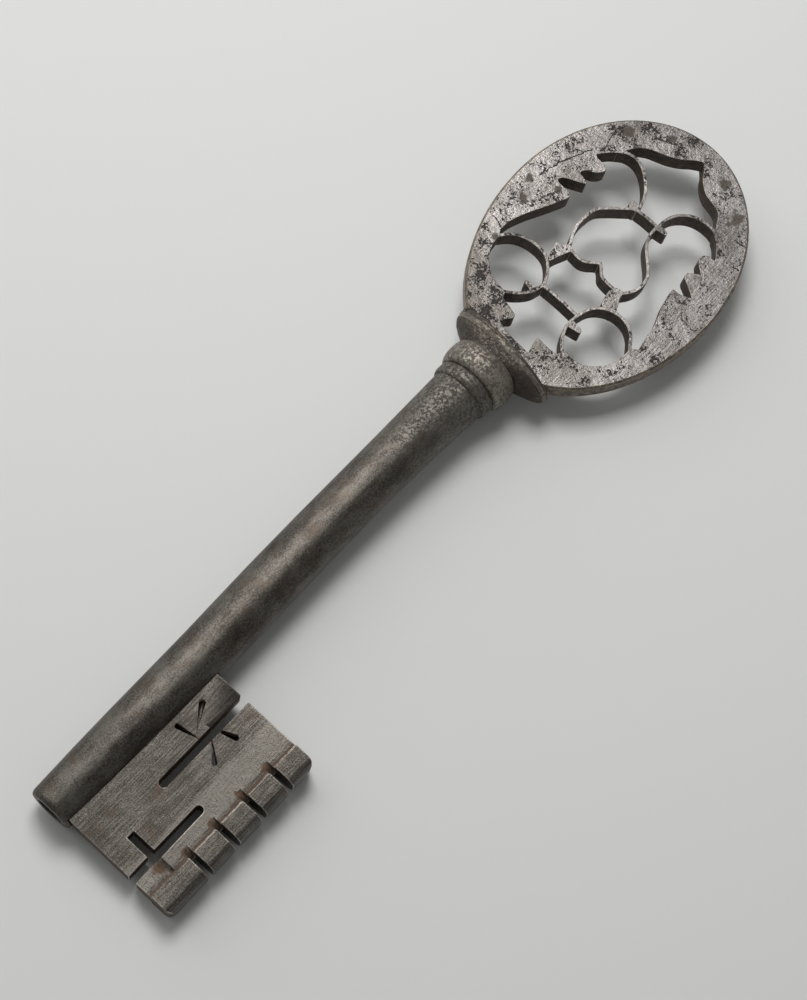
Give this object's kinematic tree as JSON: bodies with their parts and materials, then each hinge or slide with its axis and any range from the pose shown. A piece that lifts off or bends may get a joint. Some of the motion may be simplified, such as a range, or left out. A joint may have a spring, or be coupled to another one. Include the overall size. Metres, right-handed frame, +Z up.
{
  "type": "door key",
  "caption": "Antique iron door key: drilled round stem, neck ring, saddle, pierced oval bow with scroll tracery, and a warded bit with a toothed rib.",
  "frame": {"origin": "under the middle of the key's box, on the level of its lowest point, the underside of the neck ring", "axes": "+Y along the stem from its tip towards the bow, +X the way the bit stands out, +Z up from the face that carries the shallow ward recess"},
  "size_m": [0.0418, 0.1504, 0.0121],
  "materials": {
    "stem": "old dark wrought iron, handled smooth, pitted near the neck",
    "neck_ring": "old dark wrought iron, polished on the crown",
    "saddle": "old dark wrought iron, filed",
    "bow": "pale worn iron face with dark pits and file marks, dark cut edges",
    "bit": "satin worn iron with fine lengthwise scratches and rust in the cuts"
  },
  "bodies": {
    "root": {"stem": "stem", "neck_ring": "neck_ring", "saddle": "saddle", "bow": "bow", "bit": "bit"}
  },
  "joints": []
}
